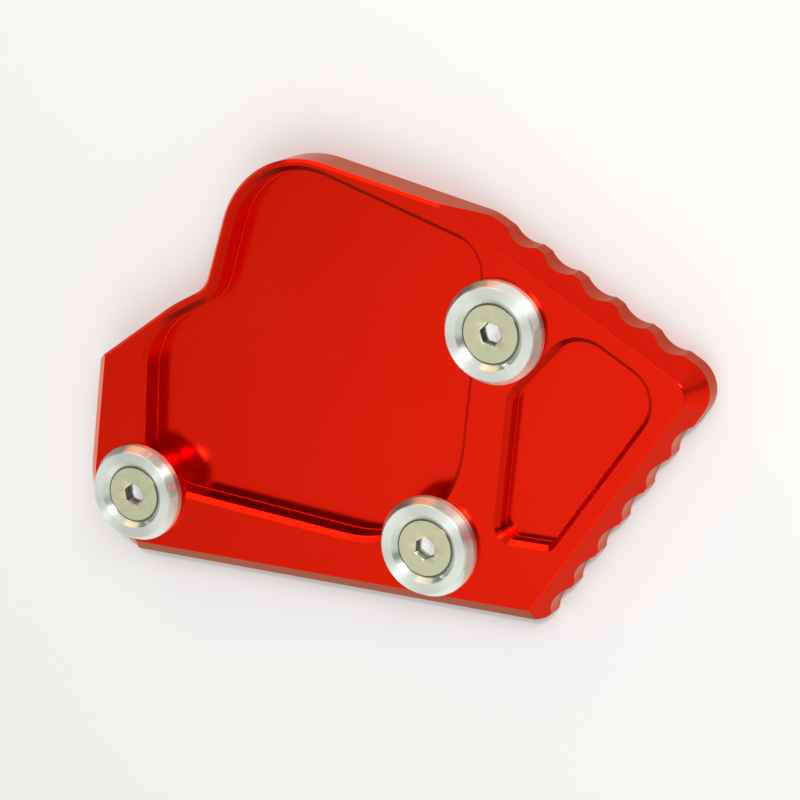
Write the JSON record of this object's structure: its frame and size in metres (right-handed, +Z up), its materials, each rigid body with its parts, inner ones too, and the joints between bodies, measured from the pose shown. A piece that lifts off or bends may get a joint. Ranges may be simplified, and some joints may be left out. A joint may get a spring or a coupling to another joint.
{
  "type": "motorcycle side stand foot pad",
  "caption": "Milled aluminium pad that clamps onto the foot of a motorcycle side stand to widen it on soft ground, with clamp discs held down by countersunk socket screws.",
  "frame": {"origin": "middle of the plate's footprint, on its flat ground face", "axes": "+Z up, away from the ground; +X along the plate's long way, towards its pointed nose; +Y towards the rounded lobe of the foot pocket"},
  "size_m": [0.1356, 0.089, 0.012],
  "materials": {
    "anodised_red": "red anodised, satin gloss",
    "bright_aluminium": "bright, lathe turned",
    "stainless_steel": "matt, as tumbled"
  },
  "bodies": {
    "plate": {"base_plate": "anodised_red"},
    "disc_1": {"clamp_disc_1": "bright_aluminium"},
    "disc_2": {"clamp_disc_2": "bright_aluminium"},
    "disc_3": {"clamp_disc_3": "bright_aluminium"},
    "screw_1": {"clamp_screw_1": "stainless_steel"},
    "screw_2": {"clamp_screw_2": "stainless_steel"},
    "screw_3": {"clamp_screw_3": "stainless_steel"}
  },
  "joints": [
    {"name": "clamp_1_lift", "type": "slide", "parent": "plate", "child": "disc_1", "axis": [0, 0, 1], "range_m": [0, 0.006]},
    {"name": "screw_1_turn", "type": "hinge", "parent": "disc_1", "child": "screw_1", "pos_m": [0.02758, 0.01258, 0.0085], "axis": [0, 0, 1], "range_deg": [0, 2165]},
    {"name": "clamp_2_lift", "type": "slide", "parent": "plate", "child": "disc_2", "axis": [0, 0, 1], "range_m": [0, 0.006]},
    {"name": "screw_2_turn", "type": "hinge", "parent": "disc_2", "child": "screw_2", "pos_m": [0.01138, -0.03042, 0.0085], "axis": [0, 0, 1], "range_deg": [0, 2165]},
    {"name": "clamp_3_lift", "type": "slide", "parent": "plate", "child": "disc_3", "axis": [0, 0, 1], "range_m": [0, 0.006]},
    {"name": "screw_3_turn", "type": "hinge", "parent": "disc_3", "child": "screw_3", "pos_m": [-0.05467, -0.02452, 0.0085], "axis": [0, 0, 1], "range_deg": [0, 2165]}
  ],
  "couplings": [
    {"joint": "screw_1_turn", "follows": "clamp_1_lift", "rad_per_m": 6283.2},
    {"joint": "screw_2_turn", "follows": "clamp_2_lift", "rad_per_m": 6283.2},
    {"joint": "screw_3_turn", "follows": "clamp_3_lift", "rad_per_m": 6283.2}
  ]
}
